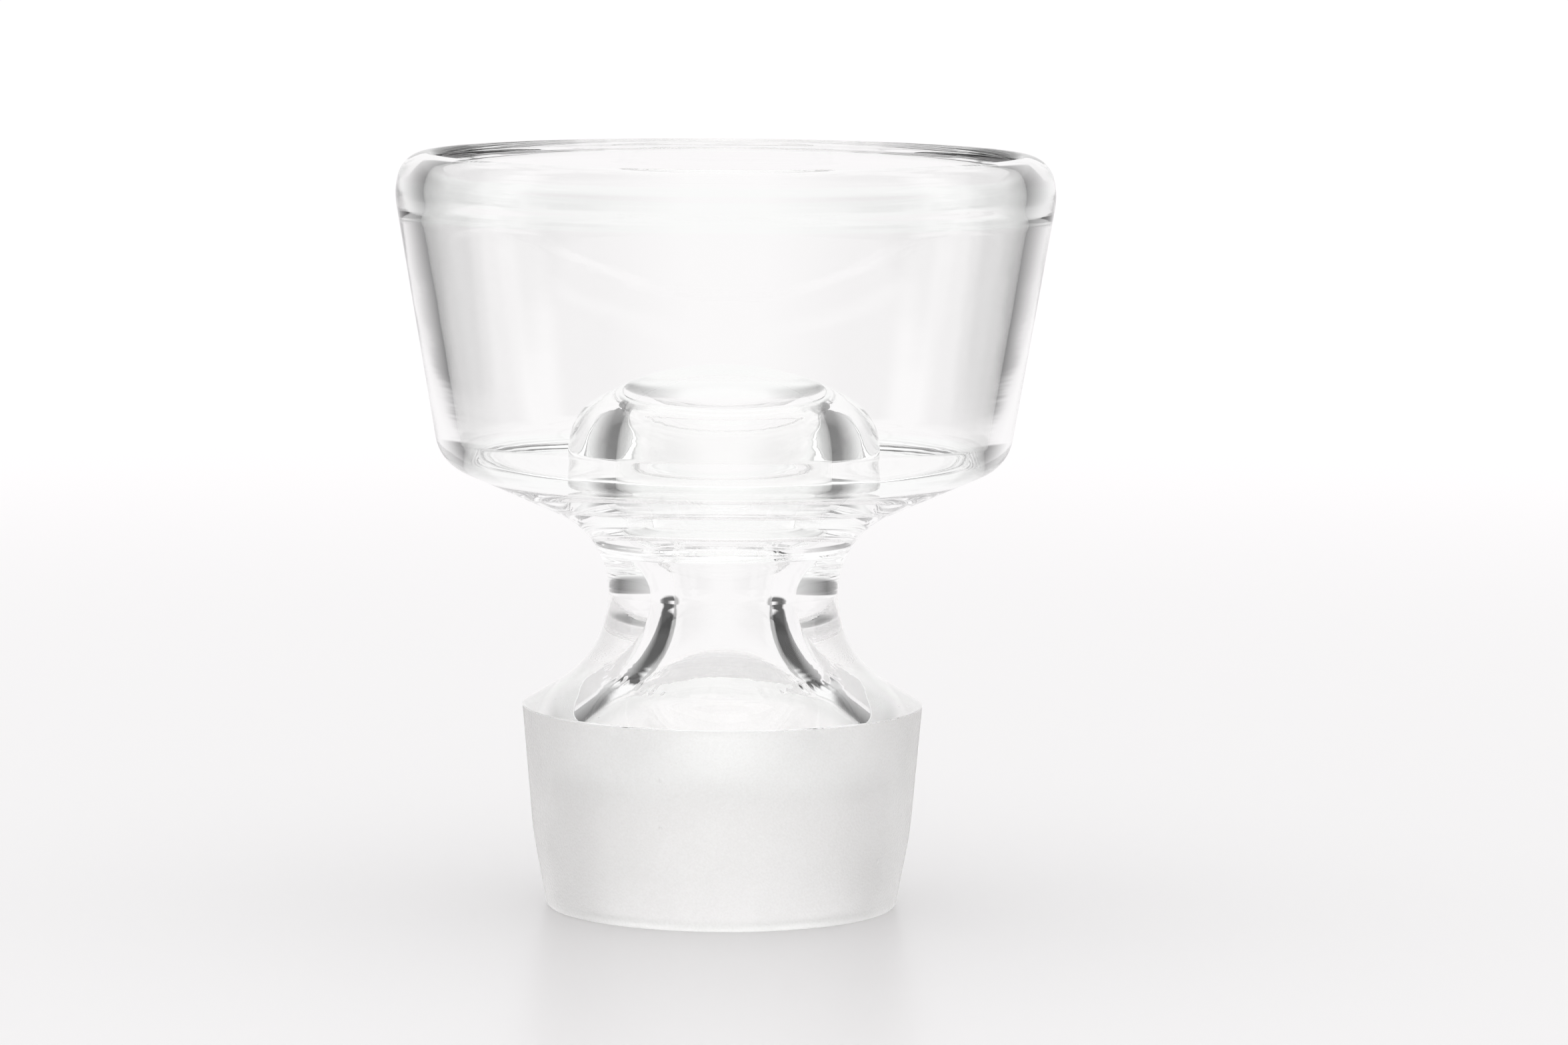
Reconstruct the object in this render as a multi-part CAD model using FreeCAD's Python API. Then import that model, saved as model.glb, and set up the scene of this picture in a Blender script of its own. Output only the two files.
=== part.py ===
import FreeCAD, Part
import math
import os

# A glass bowl funnel on a ground joint. Five glass pieces stand on one axis and are fused end to
# end: a frosted taper, its clear shoulder, an hourglass neck, a thick bowl and a hollow centre.
# Everything is round, so each piece is one outline turned about Z. Millimetres, Z up, with the
# origin in the middle of the foot. Outline corners are (radius, height, rounding).

# Driving dimensions
TOTAL_HEIGHT = 91.7
RIM_CREST_RADIUS = 36.05                # top of the rim
RIM_SHOULDER_RADIUS = 38.97             # outer corner that the rim's big rounding is cut from
RIM_BEND_HEIGHT = 87.1                  # the wall turns in here, outside
LIP_RADIUS = 34.7                       # inner corner of the rim
LIP_FOOT = (36.2, 88.6)                 # bottom of the thick rim, inside
WALL_INSIDE_TOP = 85.0                  # the straight inner wall ends here
WALL = 2.9                              # thickness of the bowl wall

FOOT_RADIUS = 21.28
FOOT_BORE_RADIUS = 18.6
FOOT_CHAMFER = (0.9, 0.8)               # width and height, at the mouth of the joint
JOINT_BEND = (22.98, 9.0)               # below this radius and height the taper closes in faster
JOINT_TOP = (24.35, 24.74)              # large end of the ground taper
SHOULDER_SLOPE = math.radians(30.67)    # joint's clear shoulder, from level
BORE_FLARE_HEIGHT = 17.0                # the wide joint bore turns in towards the waist

WAIST_RADIUS = 13.97
WAIST_BORE_RADIUS = 5.95
WAIST_TOP = 45.37                       # the waist's side meets the slope of the bowl's underside
WAIST_BORE_BOTTOM = 29.0
WAIST_BORE_TOP = 41.4
BOWL_SLOPE = math.radians(23.86)        # bowl's underside, from level
WALL_LEAN = 0.17                        # growth of the wall's radius with height
WALL_LINE_AT_FOOT = 25.25               # radius of the wall's line carried down to the foot

SPIRE_RADIUS = 18.9
SPIRE_SHOULDER = 56.0                   # height where its side starts to curve over
SPIRE_TOP = 66.4
SPIRE_SIDE_ROUNDING = 7.3
FLOOR_AT_SPIRE = 50.8                   # height of the bowl's floor around the spire
FLOOR_RISE = 0.24                       # slope of the floor, up towards the wall
FLOOR_EDGE = 31.5                       # radius where the floor meets the wall

CAVITY_TOP = 60.8
CAVITY_ROOF_BEND = 5.0                  # the roof slopes down outside this radius
CAVITY_ROOF_EDGE = (11.9, 60.2)
CAVITY_RADIUS = 13.1
CAVITY_SIDE = (51.5, 56.5)              # its side is upright between these heights
CAVITY_FLOOR_EDGE = (12.1, 48.2)
CAVITY_HOLE_RADIUS = 6.2                # hole from the cavity into the bore
CAVITY_HOLE = (46.2, 47.6)              # bottom and top of the hole
BORE_MOUTH = (7.9, 45.0)                # the bore opens out under the hole

CONE_FUSE = 24.6                        # heights of the fused seams
NECK_FOOT_FUSE = 28.2
NECK_TOP_FUSE = 44.6
SPIRE_FUSE = 52.6
SPIRE_CUT_RADIUS = 22.0                 # a cylinder round the spire, clear of the rising floor
CLEAR_RADIUS = 60.0                     # a cylinder wider than the whole glass


def wall_radius(height):
    """Outer radius of the bowl's straight wall."""
    return WALL_LINE_AT_FOOT + WALL_LEAN * height


def foot_chamfer():
    """Corner between the ground foot and the chamfer at the mouth of the joint."""
    return (FOOT_BORE_RADIUS + FOOT_CHAMFER[0], 0, 0)


def outside_corners():
    """Outer surface, from the foot to the crest of the rim."""
    joint_radius, joint_height = JOINT_TOP
    drop = (joint_radius - WAIST_RADIUS) * math.tan(SHOULDER_SLOPE)
    slope = math.tan(BOWL_SLOPE)
    corner_radius = (wall_radius(WAIST_TOP) - WALL_LEAN * slope * WAIST_RADIUS) / (1 - WALL_LEAN * slope)
    corner_height = WAIST_TOP + (corner_radius - WAIST_RADIUS) * slope
    return [
        foot_chamfer(),
        (FOOT_RADIUS, 0, 0.5),
        (*JOINT_BEND, 40),
        (joint_radius, joint_height, 0.15),
        (WAIST_RADIUS, joint_height + drop, 13),
        (WAIST_RADIUS, WAIST_TOP, 10.8),
        (corner_radius, corner_height, 5.4),
        (wall_radius(RIM_BEND_HEIGHT), RIM_BEND_HEIGHT, 8.6),
        (RIM_SHOULDER_RADIUS, TOTAL_HEIGHT, 3.65),
        (RIM_CREST_RADIUS, TOTAL_HEIGHT, 0),
    ]


def inside_corners():
    """Inner surface, from the crest of the rim down the wall, over the floor and up the spire."""
    return [
        (RIM_CREST_RADIUS, TOTAL_HEIGHT, 0),
        (LIP_RADIUS, TOTAL_HEIGHT, 0.8),
        (*LIP_FOOT, 3),
        (wall_radius(WALL_INSIDE_TOP) - WALL, WALL_INSIDE_TOP, 8),
        (FLOOR_EDGE, FLOOR_AT_SPIRE + FLOOR_RISE * (FLOOR_EDGE - SPIRE_RADIUS), 6),
        (SPIRE_RADIUS, FLOOR_AT_SPIRE, 1.5),
        (SPIRE_RADIUS, SPIRE_SHOULDER, 0),
    ]


def passage_corners():
    """Roof and side of the spire's cavity, then the bore down through the waist and the joint."""
    side_bottom, side_top = CAVITY_SIDE
    hole_bottom, hole_top = CAVITY_HOLE
    return [
        (0, CAVITY_TOP, 0),
        (CAVITY_ROOF_BEND, CAVITY_TOP, 40),
        (*CAVITY_ROOF_EDGE, 1.6),
        (CAVITY_RADIUS, side_top, 9),
        (CAVITY_RADIUS, side_bottom, 9),
        (*CAVITY_FLOOR_EDGE, 1.6),
        (CAVITY_HOLE_RADIUS, hole_top, 0.8),
        (CAVITY_HOLE_RADIUS, hole_bottom, 0.7),
        (*BORE_MOUTH, 0.7),
        (WAIST_BORE_RADIUS, WAIST_BORE_TOP, 11.5),
        (WAIST_BORE_RADIUS, WAIST_BORE_BOTTOM, 21),
        (FOOT_BORE_RADIUS, BORE_FLARE_HEIGHT, 6),
        (FOOT_BORE_RADIUS, FOOT_CHAMFER[1], 0.6),
        foot_chamfer(),
    ]


def point(radius, height):
    return FreeCAD.Vector(radius, 0, height)


def round_corner(before, corner, after, rounding):
    """Start, end and tangent arc that round off one corner."""
    back = (before - corner).normalize()
    ahead = (after - corner).normalize()
    half_angle = back.getAngle(ahead) / 2
    cut = rounding / math.tan(half_angle)
    middle = (back + ahead).normalize()
    start = corner + back * cut
    end = corner + ahead * cut
    crown = corner + middle * (rounding / math.sin(half_angle) - rounding)
    return start, end, Part.Arc(start, crown, end).toShape()


def rounded_edges(corners):
    """Straight runs joined by tangent arcs, as edges in order."""
    points = [point(radius, height) for radius, height, _ in corners]
    edges = []
    last = points[0]
    for index in range(1, len(corners) - 1):
        before, corner, after = points[index - 1:index + 2]
        start, end, arc = round_corner(before, corner, after, corners[index][2])
        assert (start - last).dot(corner - before) > 0, f"roundings overlap before {corner}"
        edges.append(Part.LineSegment(last, start).toShape())
        edges.append(arc)
        last = end
    edges.append(Part.LineSegment(last, points[-1]).toShape())
    return edges


def arc_about(centre, radius, from_angle, to_angle):
    """Arc in the outline's plane; angles are from level."""
    angles = (from_angle, (from_angle + to_angle) / 2, to_angle)
    ends = [centre + point(radius * math.cos(angle), radius * math.sin(angle)) for angle in angles]
    return Part.Arc(*ends).toShape()


def dome_edges(radius, shoulder, top, side_rounding):
    """A dome's outline: a tight arc at its side, tangent to a flatter one over the axis."""
    rise = top - shoulder
    side_centre = radius - side_rounding
    crown_radius = (side_centre ** 2 + rise ** 2 - side_rounding ** 2) / (2 * (rise - side_rounding))
    turn = math.atan2(crown_radius - rise, side_centre)
    side = arc_about(point(side_centre, shoulder), side_rounding, 0, turn)
    crown = arc_about(point(0, top - crown_radius), crown_radius, turn, math.pi / 2)
    return [side, crown]


def turned_glass():
    """The whole glass as one solid of revolution, before it is parted at the fused seams."""
    edges = rounded_edges(outside_corners()) + rounded_edges(inside_corners())
    edges += dome_edges(SPIRE_RADIUS, SPIRE_SHOULDER, SPIRE_TOP, SPIRE_SIDE_ROUNDING)
    edges.append(Part.LineSegment(point(0, SPIRE_TOP), point(0, CAVITY_TOP)).toShape())
    edges += rounded_edges(passage_corners())
    wire = Part.Wire(Part.__sortEdges__(edges))
    solid = Part.Face(wire).revolve(FreeCAD.Vector(), FreeCAD.Vector(0, 0, 1), 360)
    return solid


def disc(radius, bottom, top):
    """A cylinder on the axis, used to part the glass between two heights."""
    return Part.makeCylinder(radius, top - bottom, point(0, bottom))


def ground_cone(glass):
    """Frosted male taper that the funnel stands on."""
    return glass.common(disc(CLEAR_RADIUS, -1, CONE_FUSE))


def joint_shoulder(glass):
    """Clear conical top of the joint."""
    return glass.common(disc(CLEAR_RADIUS, CONE_FUSE, NECK_FOOT_FUSE))


def waist_neck(glass):
    """Thick hourglass neck with its bore."""
    return glass.common(disc(CLEAR_RADIUS, NECK_FOOT_FUSE, NECK_TOP_FUSE))


def centre_spire(glass):
    """Hollow domed centre that rises inside the bowl."""
    return glass.common(disc(SPIRE_CUT_RADIUS, SPIRE_FUSE, TOTAL_HEIGHT))


def bowl_cup(glass):
    """Bowl: underside, wall and rounded rim, with the stub that the spire is fused to."""
    upper = glass.common(disc(CLEAR_RADIUS, NECK_TOP_FUSE, TOTAL_HEIGHT + 1))
    return upper.cut(disc(SPIRE_CUT_RADIUS, SPIRE_FUSE, TOTAL_HEIGHT))


def main():
    os.makedirs("parts", exist_ok=True)
    glass = turned_glass()
    for piece in (ground_cone, joint_shoulder, waist_neck, bowl_cup, centre_spire):
        shape = piece(glass)
        assert len(shape.Solids) == 1 and shape.isValid(), piece.__name__
        shape.Solids[0].exportStep(f"parts/{piece.__name__}.step")
        box = shape.optimalBoundingBox()
        print(piece.__name__, round(shape.Volume), "mm3, z", round(box.ZMin, 2), round(box.ZMax, 2))


main()
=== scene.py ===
import math

import bpy
import numpy as np
from mathutils import Matrix, Vector


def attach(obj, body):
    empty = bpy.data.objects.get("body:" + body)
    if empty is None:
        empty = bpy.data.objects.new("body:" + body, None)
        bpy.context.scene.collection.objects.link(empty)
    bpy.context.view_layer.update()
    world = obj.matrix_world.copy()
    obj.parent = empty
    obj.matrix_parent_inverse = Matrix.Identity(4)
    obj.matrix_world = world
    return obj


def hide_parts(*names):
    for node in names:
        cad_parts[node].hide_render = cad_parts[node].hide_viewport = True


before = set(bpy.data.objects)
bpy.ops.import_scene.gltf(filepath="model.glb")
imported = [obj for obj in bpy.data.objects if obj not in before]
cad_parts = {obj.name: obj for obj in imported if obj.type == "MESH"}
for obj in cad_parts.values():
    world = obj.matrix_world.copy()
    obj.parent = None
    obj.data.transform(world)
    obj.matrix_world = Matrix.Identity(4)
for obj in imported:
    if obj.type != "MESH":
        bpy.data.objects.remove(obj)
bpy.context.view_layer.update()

# A clear glass bowl funnel on a frosted ground joint. The five fused pieces are turned about Z
# from one outline, the same one that the CAD pieces have, and each replaces its own CAD node.
# Outline corners are (radius, height, rounding) in millimetres. Blender works in metres.

MM = 0.001
SEGMENTS = 264                          # steps round the axis
ARC_STEP = math.radians(3)              # largest turn between outline points
RUN_STEP = 1.2                          # longest straight step along the outline, mm
WELD_STEP = 0.35                        # the same in the bands of height with hot-worked marks
MARKED_BANDS = ((22.5, 27.5), (42.5, 46.5))
TOLERANCE = 1e-6                        # shorter steps don't count, mm or a share of a run
NO_AREA = 1e-14                         # a normal this short has no direction

TOTAL_HEIGHT = 91.7
RIM_CREST_RADIUS = 36.05                # top of the rim
RIM_SHOULDER_RADIUS = 38.97             # outer corner that the rim's big rounding is cut from
RIM_BEND_HEIGHT = 87.1                  # the wall turns in here, outside
LIP_RADIUS = 34.7                       # inner corner of the rim
LIP_FOOT = (36.2, 88.6)                 # bottom of the thick rim, inside
WALL_INSIDE_TOP = 85.0                  # the straight inner wall ends here
WALL = 2.9                              # thickness of the bowl wall

FOOT_RADIUS = 21.28
FOOT_BORE_RADIUS = 18.6
FOOT_CHAMFER = (0.9, 0.8)               # width and height, at the mouth of the joint
JOINT_BEND = (22.98, 9.0)               # below this radius and height the taper closes in faster
JOINT_TOP = (24.35, 24.74)              # large end of the ground taper
SHOULDER_SLOPE = math.radians(30.67)    # joint's clear shoulder, from level
BORE_FLARE_HEIGHT = 17.0                # the wide joint bore turns in towards the waist

WAIST_RADIUS = 13.97
WAIST_BORE_RADIUS = 5.95
WAIST_TOP = 45.37                       # the waist's side meets the slope of the bowl's underside
WAIST_BORE_BOTTOM = 29.0
WAIST_BORE_TOP = 41.4
BOWL_SLOPE = math.radians(23.86)        # bowl's underside, from level
WALL_LEAN = 0.17                        # growth of the wall's radius with height
WALL_LINE_AT_FOOT = 25.25               # radius of the wall's line carried down to the foot

SPIRE_RADIUS = 18.9
SPIRE_SHOULDER = 56.0                   # height where its side starts to curve over
SPIRE_TOP = 66.4
SPIRE_SIDE_ROUNDING = 7.3
FLOOR_AT_SPIRE = 50.8                   # height of the bowl's floor around the spire
FLOOR_RISE = 0.24                       # slope of the floor, up towards the wall
FLOOR_EDGE = 31.5                       # radius where the floor meets the wall

CAVITY_TOP = 60.8
CAVITY_ROOF_BEND = 5.0                  # the roof slopes down outside this radius
CAVITY_ROOF_EDGE = (11.9, 60.2)
CAVITY_RADIUS = 13.1
CAVITY_SIDE = (51.5, 56.5)              # its side is upright between these heights
CAVITY_FLOOR_EDGE = (12.1, 48.2)
CAVITY_HOLE_RADIUS = 6.2                # hole from the cavity into the bore
CAVITY_HOLE = (46.2, 47.6)              # bottom and top of the hole
BORE_MOUTH = (7.9, 45.0)                # the bore opens out under the hole

CONE_FUSE = 24.6                        # heights of the fused seams
NECK_FOOT_FUSE = 28.2
NECK_TOP_FUSE = 44.6
SPIRE_FUSE = 52.6
FUSES = (CONE_FUSE, NECK_FOOT_FUSE, NECK_TOP_FUSE, SPIRE_FUSE)

# Marks of hot work, as (height, half width of the band, depth)
JOINT_WELD = (25.0, 0.8, 0.10)
NECK_WELD = (46.4, 0.9, 0.05)
CRIMP = (59.6, 0.5, 0.012)              # fine pinches round the cavity's roof
DRAW_MARKS = (43.9, 1.0, 0.045)         # rings outside, at the top of the neck
DRAW_PITCH = 0.95                       # spacing of those rings
JOINT_WELD_BEAD = 0.12                  # how far the joint's weld stands in, under its wrinkles
MARKS_FULL_RADIUS = 5                   # the passage's marks fade from here to the axis
WALL_WAVE = 0.007                       # depth of the inner wall's faint wave
WALL_WAVE_SPAN = (57, 88)               # heights where the wave starts and ends
WALL_WAVE_FADES = (4, 2)                # heights over which it fades in and out
WALL_WAVE_RADIUS = 25                   # it stays clear of the spire, inside this radius
WALL_WAVE_DEPTH = 1                     # and of the outer wall, down to this far under it

CLEAR, FROSTED, SEAM = range(3)         # material places on each piece


# ---- the outline ----

def wall_radius(height):
    """Outer radius of the bowl's straight wall."""
    return WALL_LINE_AT_FOOT + WALL_LEAN * height


def foot_chamfer():
    """Corner between the ground foot and the chamfer at the mouth of the joint."""
    return (FOOT_BORE_RADIUS + FOOT_CHAMFER[0], 0, 0)


def outside_corners():
    """Outer surface, from the foot to the crest of the rim."""
    joint_radius, joint_height = JOINT_TOP
    drop = (joint_radius - WAIST_RADIUS) * math.tan(SHOULDER_SLOPE)
    slope = math.tan(BOWL_SLOPE)
    lean = WALL_LEAN * slope
    corner_radius = (wall_radius(WAIST_TOP) - lean * WAIST_RADIUS) / (1 - lean)
    corner_height = WAIST_TOP + (corner_radius - WAIST_RADIUS) * slope
    return [
        foot_chamfer(),
        (FOOT_RADIUS, 0, 0.5),
        (*JOINT_BEND, 40),
        (joint_radius, joint_height, 0.15),
        (WAIST_RADIUS, joint_height + drop, 13),
        (WAIST_RADIUS, WAIST_TOP, 10.8),
        (corner_radius, corner_height, 5.4),
        (wall_radius(RIM_BEND_HEIGHT), RIM_BEND_HEIGHT, 8.6),
        (RIM_SHOULDER_RADIUS, TOTAL_HEIGHT, 3.65),
        (RIM_CREST_RADIUS, TOTAL_HEIGHT, 0),
    ]


def inside_corners():
    """Inner surface, from the crest of the rim down the wall, over the floor and up the spire."""
    return [
        (RIM_CREST_RADIUS, TOTAL_HEIGHT, 0),
        (LIP_RADIUS, TOTAL_HEIGHT, 0.8),
        (*LIP_FOOT, 3),
        (wall_radius(WALL_INSIDE_TOP) - WALL, WALL_INSIDE_TOP, 8),
        (FLOOR_EDGE, FLOOR_AT_SPIRE + FLOOR_RISE * (FLOOR_EDGE - SPIRE_RADIUS), 6),
        (SPIRE_RADIUS, FLOOR_AT_SPIRE, 1.5),
        (SPIRE_RADIUS, SPIRE_SHOULDER, 0),
    ]


def passage_corners():
    """Roof and side of the spire's cavity, then the bore down through the waist and the joint."""
    side_bottom, side_top = CAVITY_SIDE
    hole_bottom, hole_top = CAVITY_HOLE
    return [
        (0, CAVITY_TOP, 0),
        (CAVITY_ROOF_BEND, CAVITY_TOP, 40),
        (*CAVITY_ROOF_EDGE, 1.6),
        (CAVITY_RADIUS, side_top, 9),
        (CAVITY_RADIUS, side_bottom, 9),
        (*CAVITY_FLOOR_EDGE, 1.6),
        (CAVITY_HOLE_RADIUS, hole_top, 0.8),
        (CAVITY_HOLE_RADIUS, hole_bottom, 0.7),
        (*BORE_MOUTH, 0.7),
        (WAIST_BORE_RADIUS, WAIST_BORE_TOP, 11.5),
        (WAIST_BORE_RADIUS, WAIST_BORE_BOTTOM, 21),
        (FOOT_BORE_RADIUS, BORE_FLARE_HEIGHT, 6),
        (FOOT_BORE_RADIUS, FOOT_CHAMFER[1], 0.6),
        foot_chamfer(),
    ]


def arc_points(centre, rounding, from_angle, to_angle):
    """Points on an arc; angles are from level."""
    steps = max(3, math.ceil(abs(to_angle - from_angle) / ARC_STEP))
    points = []
    for index in range(steps + 1):
        angle = from_angle + (to_angle - from_angle) * index / steps
        spot = (centre[0] + rounding * math.cos(angle), centre[1] + rounding * math.sin(angle))
        points.append(spot)
    return points


def rounded_line(corners):
    """Corners joined by straight runs and tangent arcs."""
    line = [corners[0][:2]]
    for index in range(1, len(corners) - 1):
        corner = Vector(corners[index][:2])
        back = (Vector(corners[index - 1][:2]) - corner).normalized()
        ahead = (Vector(corners[index + 1][:2]) - corner).normalized()
        rounding = corners[index][2]
        half_angle = back.angle(ahead) / 2
        cut = rounding / math.tan(half_angle)
        centre = corner + (back + ahead).normalized() * rounding / math.sin(half_angle)
        start = corner + back * cut - centre
        end = corner + ahead * cut - centre
        from_angle = math.atan2(start.y, start.x)
        turn = math.remainder(math.atan2(end.y, end.x) - from_angle, 2 * math.pi)
        line += arc_points(centre, rounding, from_angle, from_angle + turn)
    line.append(corners[-1][:2])
    return line


def dome_line(radius, shoulder, top, side_rounding):
    """A dome: a tight arc at its side, tangent to a flatter one over the axis."""
    rise = top - shoulder
    side_centre = radius - side_rounding
    crown_radius = (side_centre ** 2 + rise ** 2 - side_rounding ** 2) / (2 * (rise - side_rounding))
    turn = math.atan2(crown_radius - rise, side_centre)
    side = arc_points((side_centre, shoulder), side_rounding, 0, turn)
    crown = arc_points((0, top - crown_radius), crown_radius, turn, math.pi / 2)
    return side + crown[1:-1] + [(0, top)]


def fine_line(line):
    """The line with no long steps, no doubled points, and a point at each fused seam."""
    fine = [line[0]]
    for end in line[1:]:
        start = fine[-1]
        length = math.dist(start, end)
        if length < TOLERANCE:
            continue
        bottom, top = sorted((start[1], end[1]))
        marked = any(low < top and bottom < high for low, high in MARKED_BANDS)
        steps = math.ceil(length / (WELD_STEP if marked else RUN_STEP))
        places = [index / steps for index in range(1, steps + 1)]
        rise = end[1] - start[1]
        if rise:
            crossings = [(height - start[1]) / rise for height in FUSES]
            places += [place for place in crossings if TOLERANCE < place < 1 - TOLERANCE]
        for place in sorted(places):
            fine.append((start[0] + (end[0] - start[0]) * place, start[1] + rise * place))
    return fine


# ---- turning the outline into glass ----

def wrinkles(angle, counts):
    """Uneven waves round the axis, between about -1 and 1."""
    return sum(np.sin(count * angle + 1.7 * count) for count in counts) / len(counts)


def band(height, middle, width):
    """A soft band of heights: 1 in its middle, 0 well away from it."""
    return np.exp(-((height - middle) / width) ** 2)


def passage_marks(radius, height, angle):
    """Welds and pinches inside the passage, in millimetres of radius."""
    middle, width, depth = JOINT_WELD
    drift = 0.5 * np.sin(3 * angle) + 0.3 * np.sin(7 * angle + 1)
    folds = depth * wrinkles(angle, (29, 41, 53, 64)) - JOINT_WELD_BEAD
    joint_weld = band(height, middle + drift, width) * folds
    middle, width, depth = NECK_WELD
    neck_weld = band(height, middle, width) * depth * wrinkles(angle, (23, 41, 59))
    middle, width, depth = CRIMP
    crimp = band(height, middle, width) * depth * wrinkles(angle, (44, 57))
    return (joint_weld + neck_weld + crimp) * np.minimum(1, radius / MARKS_FULL_RADIUS)


def skin_marks(radius, height, angle):
    """Drawn rings on the neck and a faint wave in the bowl's wall, in millimetres of radius."""
    middle, width, depth = DRAW_MARKS
    rings = np.sin(2 * math.pi * height / DRAW_PITCH + np.sin(2 * angle))
    draw_marks = band(height, middle, width) * depth * rings
    bottom, top = WALL_WAVE_SPAN
    under_wall = radius < wall_radius(height) - WALL_WAVE_DEPTH
    inner_wall = under_wall & (height > bottom) & (radius > WALL_WAVE_RADIUS)
    wave = np.sin(0.42 * height + 0.6 * np.sin(angle)) + 0.6 * np.sin(1.07 * height + 2 * angle)
    fade_in = np.clip((height - bottom) / WALL_WAVE_FADES[0], 0, 1)
    fade_out = np.clip((top - height) / WALL_WAVE_FADES[1], 0, 1)
    return draw_marks + np.where(inner_wall, WALL_WAVE * wave * fade_in * fade_out, 0)


def grid_normals(spots):
    """Smooth outward normals of a grid of points [ring, segment, xyz], upright on the axis."""
    along = np.gradient(spots, axis=0)
    around = np.roll(spots, -1, 1) - np.roll(spots, 1, 1)
    normals = np.cross(around, along)
    length = np.linalg.norm(normals, axis=2, keepdims=True)
    straight = np.array([0, 0, math.copysign(1, spots[-1, 0, 0] - spots[0, 0, 0])])
    return np.where(length > NO_AREA, normals / np.maximum(length, NO_AREA), -straight)


def turned_grid(line, marks):
    """Points and normals of a line turned about Z, with its marks of hot work."""
    angle = np.linspace(0, 2 * math.pi, SEGMENTS, endpoint=False)
    radius, angle = np.meshgrid([spot[0] for spot in line], angle, indexing="ij")
    height = np.array([spot[1] for spot in line])[:, None] + 0 * angle
    radius = radius + marks(radius, height, angle)
    spots = np.stack((radius * np.cos(angle), radius * np.sin(angle), height), 2) * MM
    return spots, grid_normals(spots)


def part_of(grid, line, low, high):
    """The rings of a grid whose outline points lie between two heights."""
    within = (low - TOLERANCE, high + TOLERANCE)
    chosen = [index for index, spot in enumerate(line) if within[0] <= spot[1] <= within[1]]
    spots, normals = grid
    return spots[chosen[0]:chosen[-1] + 1], normals[chosen[0]:chosen[-1] + 1]


def seam(before, after):
    """The flat ring that closes a piece between two strips."""
    spots = np.stack((before[0][-1], after[0][0]))
    return spots, grid_normals(spots)


def glass_piece(name, strips, materials):
    """Closed mesh from (strip, material place) pairs that follow each other round the outline."""
    vertices, faces, places, corner_normals = [], [], [], []
    known = {}

    def ring_indexes(ring):
        """Vertices of a ring. Strips that meet share theirs, and a ring on the axis has one."""
        key = tuple(np.round(ring[0] / MM, 4))
        if key not in known:
            pole = math.hypot(*ring[0][:2]) < TOLERANCE * MM
            first = len(vertices)
            vertices.extend(ring[:1] if pole else ring)
            known[key] = [first] * SEGMENTS if pole else list(range(first, first + SEGMENTS))
        return known[key]

    for (spots, normals), place in strips:
        for ring in range(len(spots) - 1):
            lower, upper = ring_indexes(spots[ring]), ring_indexes(spots[ring + 1])
            for this in range(SEGMENTS):
                after = (this + 1) % SEGMENTS
                corners = [(lower, ring, this), (lower, ring, after)]
                corners += [(upper, ring + 1, after), (upper, ring + 1, this)]
                if lower[0] == lower[1]:
                    corners.pop(0)
                elif upper[0] == upper[1]:
                    corners.pop()
                faces.append([indexes[segment] for indexes, _, segment in corners])
                corner_normals.extend(normals[row, segment] for _, row, segment in corners)
                places.append(place)

    mesh = bpy.data.meshes.new(name)
    mesh.from_pydata(vertices, [], faces)
    mesh.polygons.foreach_set("material_index", places)
    mesh.polygons.foreach_set("use_smooth", [True] * len(faces))
    mesh.normals_split_custom_set(corner_normals)
    for material in materials:
        mesh.materials.append(material)
    piece = bpy.data.objects.new(name, mesh)
    bpy.context.scene.collection.objects.link(piece)
    return piece


def turned_surfaces():
    """The outside, the bowl's inside, the spire and the passage, each as a (grid, line) pair."""
    outside = fine_line(rounded_line(outside_corners()))
    inside = fine_line(rounded_line(inside_corners()))
    spire = fine_line(dome_line(SPIRE_RADIUS, SPIRE_SHOULDER, SPIRE_TOP, SPIRE_SIDE_ROUNDING))
    line = outside + inside[1:] + spire[1:]
    spots, normals = turned_grid(line, skin_marks)

    def stretch(first, last):
        return (spots[first:last], normals[first:last]), line[first:last]

    crest = len(outside) - 1
    lowest = min(range(crest + 1, len(line)), key=lambda index: line[index][1])
    passage_line = fine_line(rounded_line(passage_corners()))
    passage = (turned_grid(passage_line, passage_marks), passage_line)
    return stretch(0, crest + 1), stretch(crest, lowest + 1), stretch(lowest, None), passage


def taper_strips(outside, passage):
    """Frosted taper, with a clear bore that meets its outside at the foot."""
    outer = part_of(*outside, 0, CONE_FUSE)
    inner = part_of(*passage, 0, CONE_FUSE)
    return [(outer, FROSTED), (seam(outer, inner), SEAM), (inner, CLEAR)]


def tube_strips(outside, passage, low, high):
    """Clear tube between two fused seams."""
    outer = part_of(*outside, low, high)
    inner = part_of(*passage, low, high)
    return [(outer, CLEAR), (seam(outer, inner), SEAM), (inner, CLEAR), (seam(inner, outer), SEAM)]


def bowl_strips(outside, bowl_inside, spire, passage):
    """Bowl with its rim and floor, and the stub that the dome is fused to."""
    outer = part_of(*outside, NECK_TOP_FUSE, TOTAL_HEIGHT)
    stub = part_of(*spire, 0, SPIRE_FUSE)
    bore = part_of(*passage, NECK_TOP_FUSE, SPIRE_FUSE)
    surfaces = [(outer, CLEAR), (bowl_inside[0], CLEAR), (stub, CLEAR)]
    return surfaces + [(seam(stub, bore), SEAM), (bore, CLEAR), (seam(bore, outer), SEAM)]


def dome_strips(spire, passage):
    """Hollow dome in the middle of the bowl."""
    dome = part_of(*spire, SPIRE_FUSE, SPIRE_TOP)
    hollow = part_of(*passage, SPIRE_FUSE, CAVITY_TOP)
    return [(dome, CLEAR), (hollow, CLEAR), (seam(hollow, dome), SEAM)]


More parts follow.
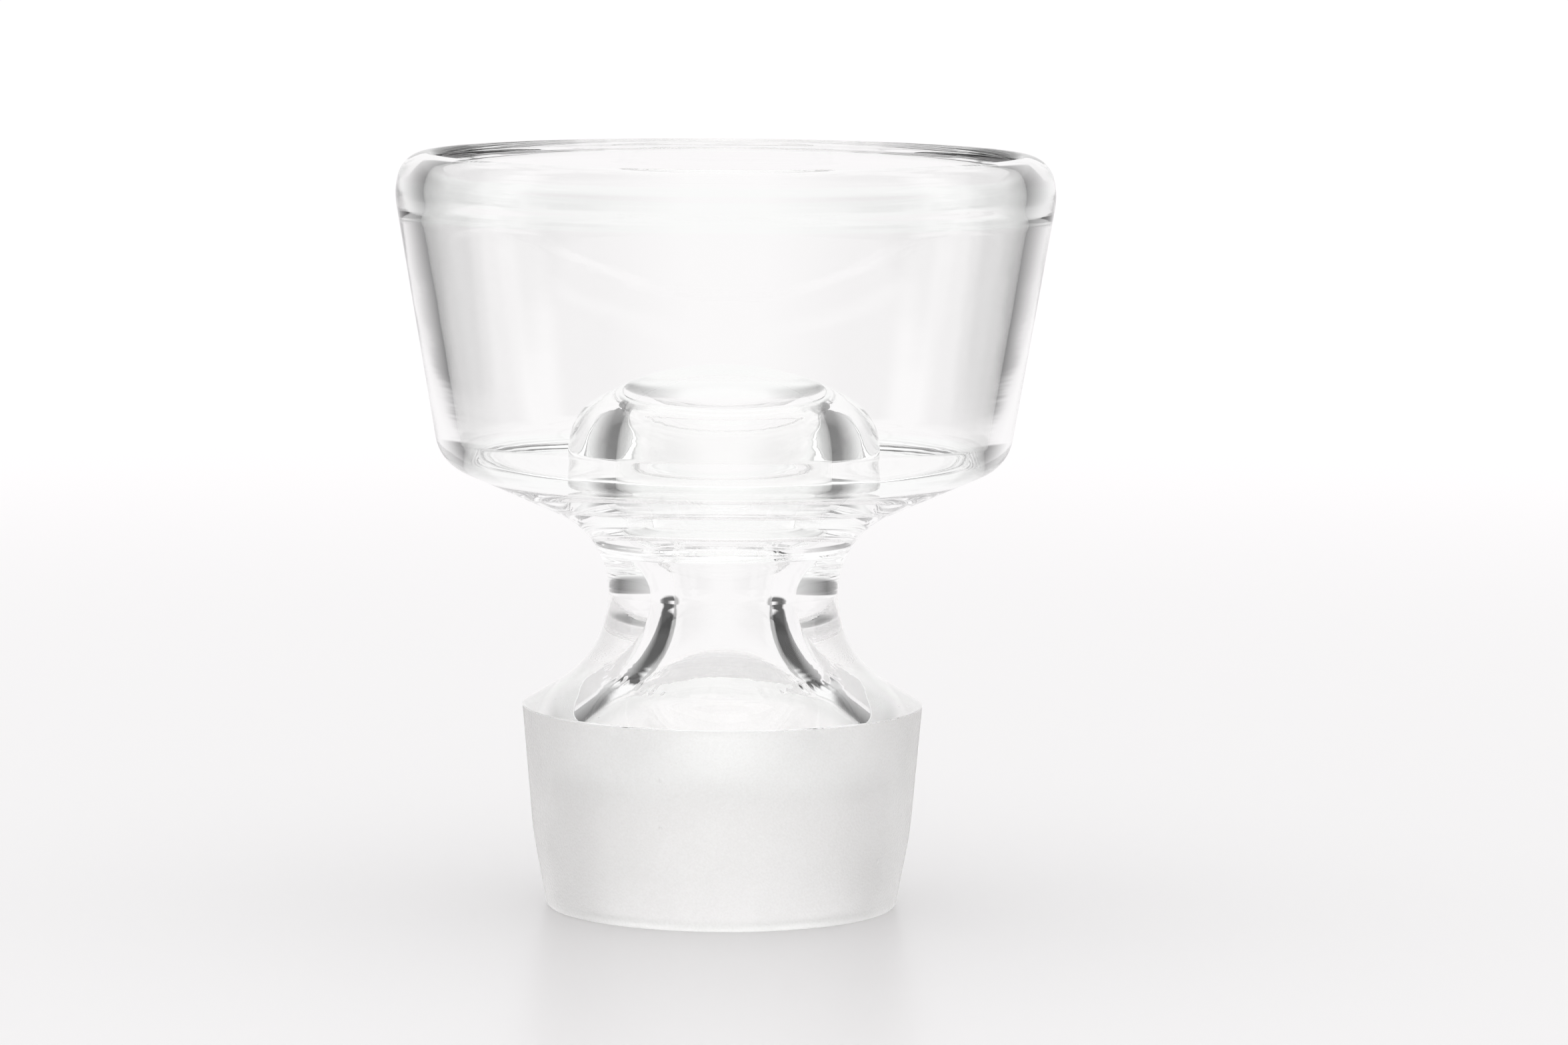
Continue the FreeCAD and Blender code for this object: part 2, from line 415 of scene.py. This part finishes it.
def make_glass(materials):
    """The five pieces, each parted from the same turned outline at the fused seams."""
    outside, bowl_inside, spire, passage = turned_surfaces()
    taper = taper_strips(outside, passage)
    collar = tube_strips(outside, passage, CONE_FUSE, NECK_FOOT_FUSE)
    neck = tube_strips(outside, passage, NECK_FOOT_FUSE, NECK_TOP_FUSE)
    bowl = bowl_strips(outside, bowl_inside, spire, passage)
    dome = dome_strips(spire, passage)
    pieces = (
        ("ground_taper", taper, "ground_cone", "ground_glass"),
        ("joint_collar", collar, "joint_shoulder", "clear_glass"),
        ("hourglass_neck", neck, "waist_neck", "clear_glass"),
        ("bowl", bowl, "bowl_cup", "clear_glass"),
        ("centre_dome", dome, "centre_spire", "clear_glass"),
    )
    for name, strips, node, slot in pieces:
        piece = glass_piece(name, strips, materials)
        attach(piece, "root")
        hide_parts(node)


# ---- materials ----

GLASS_IOR = 1.48
WAVE_HEIGHT = 0.00006                   # depth of the clear glass's waviness, metres
DRAW_LINE_SHARE = 0.06                  # how strong its fine level lines are beside it
GRAIN_HEIGHT = 0.00008                  # depth of the ground glass's grain, metres
PIT_PICK = 0.93                         # share of the ground glass's cells that have no pit
PIT_EDGE = (0.16, 0.05)                 # from a pit's edge to its full depth, share of a cell
PIT_DEPTH = 1.5                         # times the grain's depth
PIT_PAINTED_SHADE = 1.2                      # painted shade in the pits, times the step from the dark tone to the pale one
MOTTLE_SPAN = (0.35, 0.65)              # the mottle's values for the dark tone and the pale one
CLOUD_SPAN = (0.3, 0.7)                 # the clouds' values for the two roughnesses
GROUND_ROUGHNESS = (0.60, 0.70)


class Nodes:
    """Short calls for building one node tree."""

    def __init__(self, tree):
        self.tree = tree
        tree.nodes.clear()

    def add(self, kind, inputs=(), **settings):
        """A node with its settings, and its inputs linked or set by value."""
        node = self.tree.nodes.new(kind)
        for setting, value in settings.items():
            setattr(node, setting, value)
        for socket, value in dict(inputs).items():
            if isinstance(value, bpy.types.NodeSocket):
                self.tree.links.new(value, node.inputs[socket])
            else:
                node.inputs[socket].default_value = value
        return node

    def math(self, operation, *values):
        """The result of a sum on values or outputs."""
        return self.add("ShaderNodeMath", enumerate(values), operation=operation).outputs[0]

    def ramp(self, value, start, end, low=0.0, high=1.0, smooth=True):
        """From low to high as the value goes from start to end."""
        sockets = {"Value": value, "From Min": start, "From Max": end, "To Min": low, "To Max": high}
        kind = "SMOOTHSTEP" if smooth else "LINEAR"
        return self.add("ShaderNodeMapRange", sockets, interpolation_type=kind).outputs[0]


def new_material(name):
    """A material with an empty node tree."""
    material = bpy.data.materials.new(name)
    material.use_nodes = True
    return material, Nodes(material.node_tree)


def clear_glass():
    """Borosilicate glass with the faint waviness of fire-polished work."""
    material, nodes = new_material("clear_glass")
    place = nodes.add("ShaderNodeTexCoord").outputs["Object"]
    sway = nodes.add("ShaderNodeTexNoise", {"Vector": place, "Scale": 55.0, "Detail": 1.0}).outputs[0]
    draw = nodes.add("ShaderNodeMapping", {"Vector": place, "Scale": (60, 60, 700)}).outputs[0]
    lines = nodes.add("ShaderNodeTexNoise", {"Vector": draw, "Scale": 1.0, "Detail": 2.0}).outputs[0]
    height = nodes.math("MULTIPLY_ADD", lines, DRAW_LINE_SHARE, sway)
    bump = nodes.add("ShaderNodeBump", {"Height": height, "Distance": WAVE_HEIGHT, "Strength": 1.0})
    shader = nodes.add("ShaderNodeBsdfPrincipled", {
        "Base Color": (0.995, 0.997, 0.994, 1),
        "Roughness": 0.0,
        "IOR": GLASS_IOR,
        "Transmission Weight": 1.0,
        "Normal": bump.outputs[0],
    })
    nodes.add("ShaderNodeOutputMaterial", {"Surface": shader.outputs[0]})
    return material


def ground_glass():
    """Ground taper: a fine even grain with tiny pits, which scatters the light passing through. The pits
    are painted darker, as painted shade.
    """
    material, nodes = new_material("ground_glass")
    place = nodes.add("ShaderNodeTexCoord").outputs["Object"]
    grain = nodes.add("ShaderNodeTexNoise", {"Vector": place, "Scale": 3500.0, "Detail": 3.0}).outputs[0]
    clouds = nodes.add("ShaderNodeTexNoise", {"Vector": place, "Scale": 180.0, "Detail": 4.0}).outputs[0]
    cells = nodes.add("ShaderNodeTexVoronoi", {"Vector": place, "Scale": 420.0})
    pick = nodes.add("ShaderNodeSeparateXYZ", {0: cells.outputs["Color"]}).outputs[0]
    chosen = nodes.math("GREATER_THAN", pick, PIT_PICK)
    pits = nodes.math("MULTIPLY", chosen, nodes.ramp(cells.outputs["Distance"], *PIT_EDGE))
    height = nodes.math("SUBTRACT", grain, nodes.math("MULTIPLY", pits, PIT_DEPTH))
    bump = nodes.add("ShaderNodeBump", {"Height": height, "Distance": GRAIN_HEIGHT, "Strength": 1.0})
    mottle = nodes.math("MULTIPLY_ADD", clouds, 0.5, nodes.math("MULTIPLY", grain, 0.5))
    tone = nodes.ramp(mottle, *MOTTLE_SPAN)
    # Painted shade: the pits are darker in colour than the glass round them.
    tone = nodes.math("SUBTRACT", tone, nodes.math("MULTIPLY", pits, PIT_PAINTED_SHADE))
    tones = {0: tone, 6: (0.90, 0.895, 0.885, 1), 7: (1.0, 0.997, 0.99, 1)}
    colour = nodes.add("ShaderNodeMix", tones, data_type="RGBA").outputs[2]
    shader = nodes.add("ShaderNodeBsdfPrincipled", {
        "Base Color": colour,
        "Roughness": nodes.ramp(clouds, *CLOUD_SPAN, *GROUND_ROUGHNESS),
        "IOR": GLASS_IOR,
        "Transmission Weight": 1.0,
        "Normal": bump.outputs[0],
    })
    nodes.add("ShaderNodeOutputMaterial", {"Surface": shader.outputs[0]})
    return material


def fused_seam():
    """Inside a fused seam the glass is one body, so the cut faces let everything through."""
    material, nodes = new_material("fused_seam")
    shader = nodes.add("ShaderNodeBsdfTransparent")
    nodes.add("ShaderNodeOutputMaterial", {"Surface": shader.outputs[0]})
    return material


# ---- the studio ----

# Distances are metres from the funnel's axis, and angles are in degrees. X is sideways and Y is
# lengthways, away from the camera. A pair of values is where a change starts and where it ends.
TABLE_SIZE = 30.0
PAPER_COLOUR = (0.85, 0.835, 0.84, 1)
PAPER_GLOW = (1, 0.984, 0.992, 1)
LIT_TO_GLOW = (0.10, 0.75)              # the lit paper gives way to a plain glow here, for the camera; the glass sees the glow everywhere
PAPER_NEAR, PAPER_FAR = 0.94, 1.035     # brightness of the glow to the camera, with painted shade: dimmer close to the funnel
PAPER_SPAN = (0.10, 0.60)               # distances for those two
PAPER_IN_GLASS = 0.97                   # brightness of the white paper as the glass sees it
DIM_ROOM_AND_SHADE = 0.05                         # brightness of the room beside the paper, and of the painted shade far off on the floor
GLASS_SHADE_NEAR = 0.09                        # brightness of the painted shade on the floor close in, which only rays other than the camera's see
DIM_SPAN = (0.5, 1.0)                   # the near painted shade becomes the far one here
DIM_TURN = (15, 52)                     # the dim sets in, round from the camera's axis
DIM_SIDEWAYS = (0.20, 0.25)             # the painted shade starts here, to each side
DIM_LENGTHWAYS = (0.10, 0.20)           # the dim starts this far in front and behind
STRIP_LENGTHWAYS = (0.03, 0.06)         # but this near in a strip at each side of the paper
STRIP_SIDEWAYS = (0.40, 0.34)           # the strip's outer edge, from outside in
GAP_TURN = (82, 75)                     # the room's dim gap ends, short of straight to the side
GAP_RISE = (24, 12)                     # and its upper edge, from above down
SOFTBOX_RISE = (42, 50)                 # edge of the softbox overhead
SOFTBOX_GAIN = 0.3                      # brightness that the softbox adds


def sides(nodes, axes):
    """How far sideways and lengthways, and the turn from the camera's axis, in either direction."""
    sideways = nodes.math("ABSOLUTE", axes.outputs["X"])
    lengthways = nodes.math("ABSOLUTE", axes.outputs["Y"])
    return sideways, lengthways, nodes.math("ARCTAN2", sideways, lengthways)


def degrees_ramp(nodes, value, span, low=0.0, high=1.0, smooth=True):
    """A ramp between two angles in degrees."""
    return nodes.ramp(value, math.radians(span[0]), math.radians(span[1]), low, high, smooth)


def floor_sheet():
    """Large flat square at the height of the foot."""
    half = TABLE_SIZE / 2
    corners = [(-half, -half, 0), (half, -half, 0), (half, half, 0), (-half, half, 0)]
    mesh = bpy.data.meshes.new("floor")
    mesh.from_pydata(corners, [], [(0, 1, 2, 3)])
    floor = bpy.data.objects.new("floor", mesh)
    bpy.context.scene.collection.objects.link(floor)
    return mesh


def studio_floor():
    """Pale floor, lit close to the funnel and glowing further off, where the camera sees the glow
    brighten with distance: painted shade near the funnel. To other rays it glows evenly, even under the
    funnel's shadow, and its far corners fall off into the dim of the room: painted light and painted
    shade that only the glass shows.
    """
    mesh = floor_sheet()
    material, nodes = new_material("pale_floor")
    place = nodes.add("ShaderNodeNewGeometry").outputs["Position"]
    axes = nodes.add("ShaderNodeSeparateXYZ", {0: place})
    distance = nodes.add("ShaderNodeVectorMath", {0: place}, operation="LENGTH").outputs["Value"]
    seen = nodes.add("ShaderNodeLightPath").outputs["Is Camera Ray"]
    unseen = nodes.math("SUBTRACT", 1.0, seen)
    surface = nodes.add("ShaderNodeBsdfPrincipled", {
        "Base Color": PAPER_COLOUR,
        "Roughness": 0.3,
        "Specular IOR Level": 0.4,
    })
    # Painted shade: to the camera the glow is dimmer close to the funnel than far off.
    paper_seen = nodes.ramp(distance, *PAPER_SPAN, PAPER_NEAR, PAPER_FAR)
    strength = nodes.add("ShaderNodeMix", {0: seen, 2: PAPER_IN_GLASS, 3: paper_seen}).outputs[0]
    glow = nodes.add("ShaderNodeEmission", {"Color": PAPER_GLOW, "Strength": strength})
    # Painted light: rays other than the camera's see the glow right up to the funnel, with none of its
    # shadow.
    glow_share = nodes.math("MAXIMUM", nodes.ramp(distance, *LIT_TO_GLOW), unseen)
    paper = nodes.add("ShaderNodeMixShader", {0: glow_share, 1: surface.outputs[0], 2: glow.outputs[0]})

    # Painted shade: off the camera's axis and away from the middle, rays other than the camera's see the
    # floor dim, where the camera sees it pale.
    sideways, lengthways, turn = sides(nodes, axes)
    aside = degrees_ramp(nodes, turn, DIM_TURN, smooth=False)
    fall = nodes.math("MULTIPLY", aside, nodes.ramp(sideways, *DIM_SIDEWAYS))
    behind = nodes.ramp(lengthways, *DIM_LENGTHWAYS)
    strip_length = nodes.ramp(lengthways, *STRIP_LENGTHWAYS)
    strip = nodes.math("MULTIPLY", strip_length, nodes.ramp(sideways, *STRIP_SIDEWAYS))
    shade = nodes.math("MULTIPLY", fall, nodes.math("MAXIMUM", behind, strip))
    share = nodes.math("MULTIPLY", shade, unseen)
    dimness = nodes.ramp(distance, *DIM_SPAN, GLASS_SHADE_NEAR, DIM_ROOM_AND_SHADE)
    dim = nodes.add("ShaderNodeEmission", {"Strength": dimness})
    whole = nodes.add("ShaderNodeMixShader", {0: share, 1: paper.outputs[0], 2: dim.outputs[0]})
    nodes.add("ShaderNodeOutputMaterial", {"Surface": whole.outputs[0]})
    mesh.materials.append(material)


def studio_light():
    """White room: a large softbox overhead, and a dim gap low down at each side of the sweep."""
    world = bpy.data.worlds.new("studio")
    bpy.context.scene.world = world
    world.use_nodes = True
    nodes = Nodes(world.node_tree)
    direction = nodes.add("ShaderNodeTexCoord").outputs["Generated"]
    axes = nodes.add("ShaderNodeSeparateXYZ", {0: direction})
    rise = nodes.math("ARCSINE", axes.outputs["Z"])
    turn = sides(nodes, axes)[2]

    falling = degrees_ramp(nodes, turn, DIM_TURN, smooth=False)
    gap = nodes.math("MULTIPLY", falling, degrees_ramp(nodes, turn, GAP_TURN))
    low = degrees_ramp(nodes, rise, GAP_RISE)
    loss = nodes.math("MULTIPLY", nodes.math("MULTIPLY", gap, low), PAPER_IN_GLASS - DIM_ROOM_AND_SHADE)
    wall = nodes.math("SUBTRACT", PAPER_IN_GLASS, loss)
    softbox = degrees_ramp(nodes, rise, SOFTBOX_RISE, 0.0, SOFTBOX_GAIN)
    strength = nodes.math("ADD", wall, softbox)
    light = nodes.add("ShaderNodeBackground", {"Color": (1, 1, 1, 1), "Strength": strength})
    nodes.add("ShaderNodeOutputWorld", {"Surface": light.outputs[0]})


def photo_camera():
    """Long lens a little above the rim's height, looking down at the funnel."""
    back, up = 0.800, 0.133
    pitch = math.radians(6.143)
    yaw = math.radians(-0.5245)
    roll = math.radians(0.45)
    data = bpy.data.cameras.new("camera")
    data.sensor_width = 36
    data.lens = 152.1
    data.clip_start = 0.01
    camera = bpy.data.objects.new("camera", data)
    bpy.context.scene.collection.objects.link(camera)
    aim = Matrix.Rotation(yaw, 4, "Z") @ Matrix.Rotation(math.pi / 2 - pitch, 4, "X")
    camera.matrix_world = Matrix.Translation((0, -back, up)) @ aim @ Matrix.Rotation(roll, 4, "Z")
    bpy.context.scene.camera = camera


def render_depth():
    """Enough bounces for light to get out of thick glass, and plain colour output."""
    scene = bpy.context.scene
    scene.view_settings.view_transform = "Standard"
    scene.cycles.max_bounces = 32
    scene.cycles.transmission_bounces = 32
    scene.cycles.glossy_bounces = 16
    scene.cycles.transparent_max_bounces = 24


make_glass((clear_glass(), ground_glass(), fused_seam()))
studio_floor()
studio_light()
photo_camera()
render_depth()
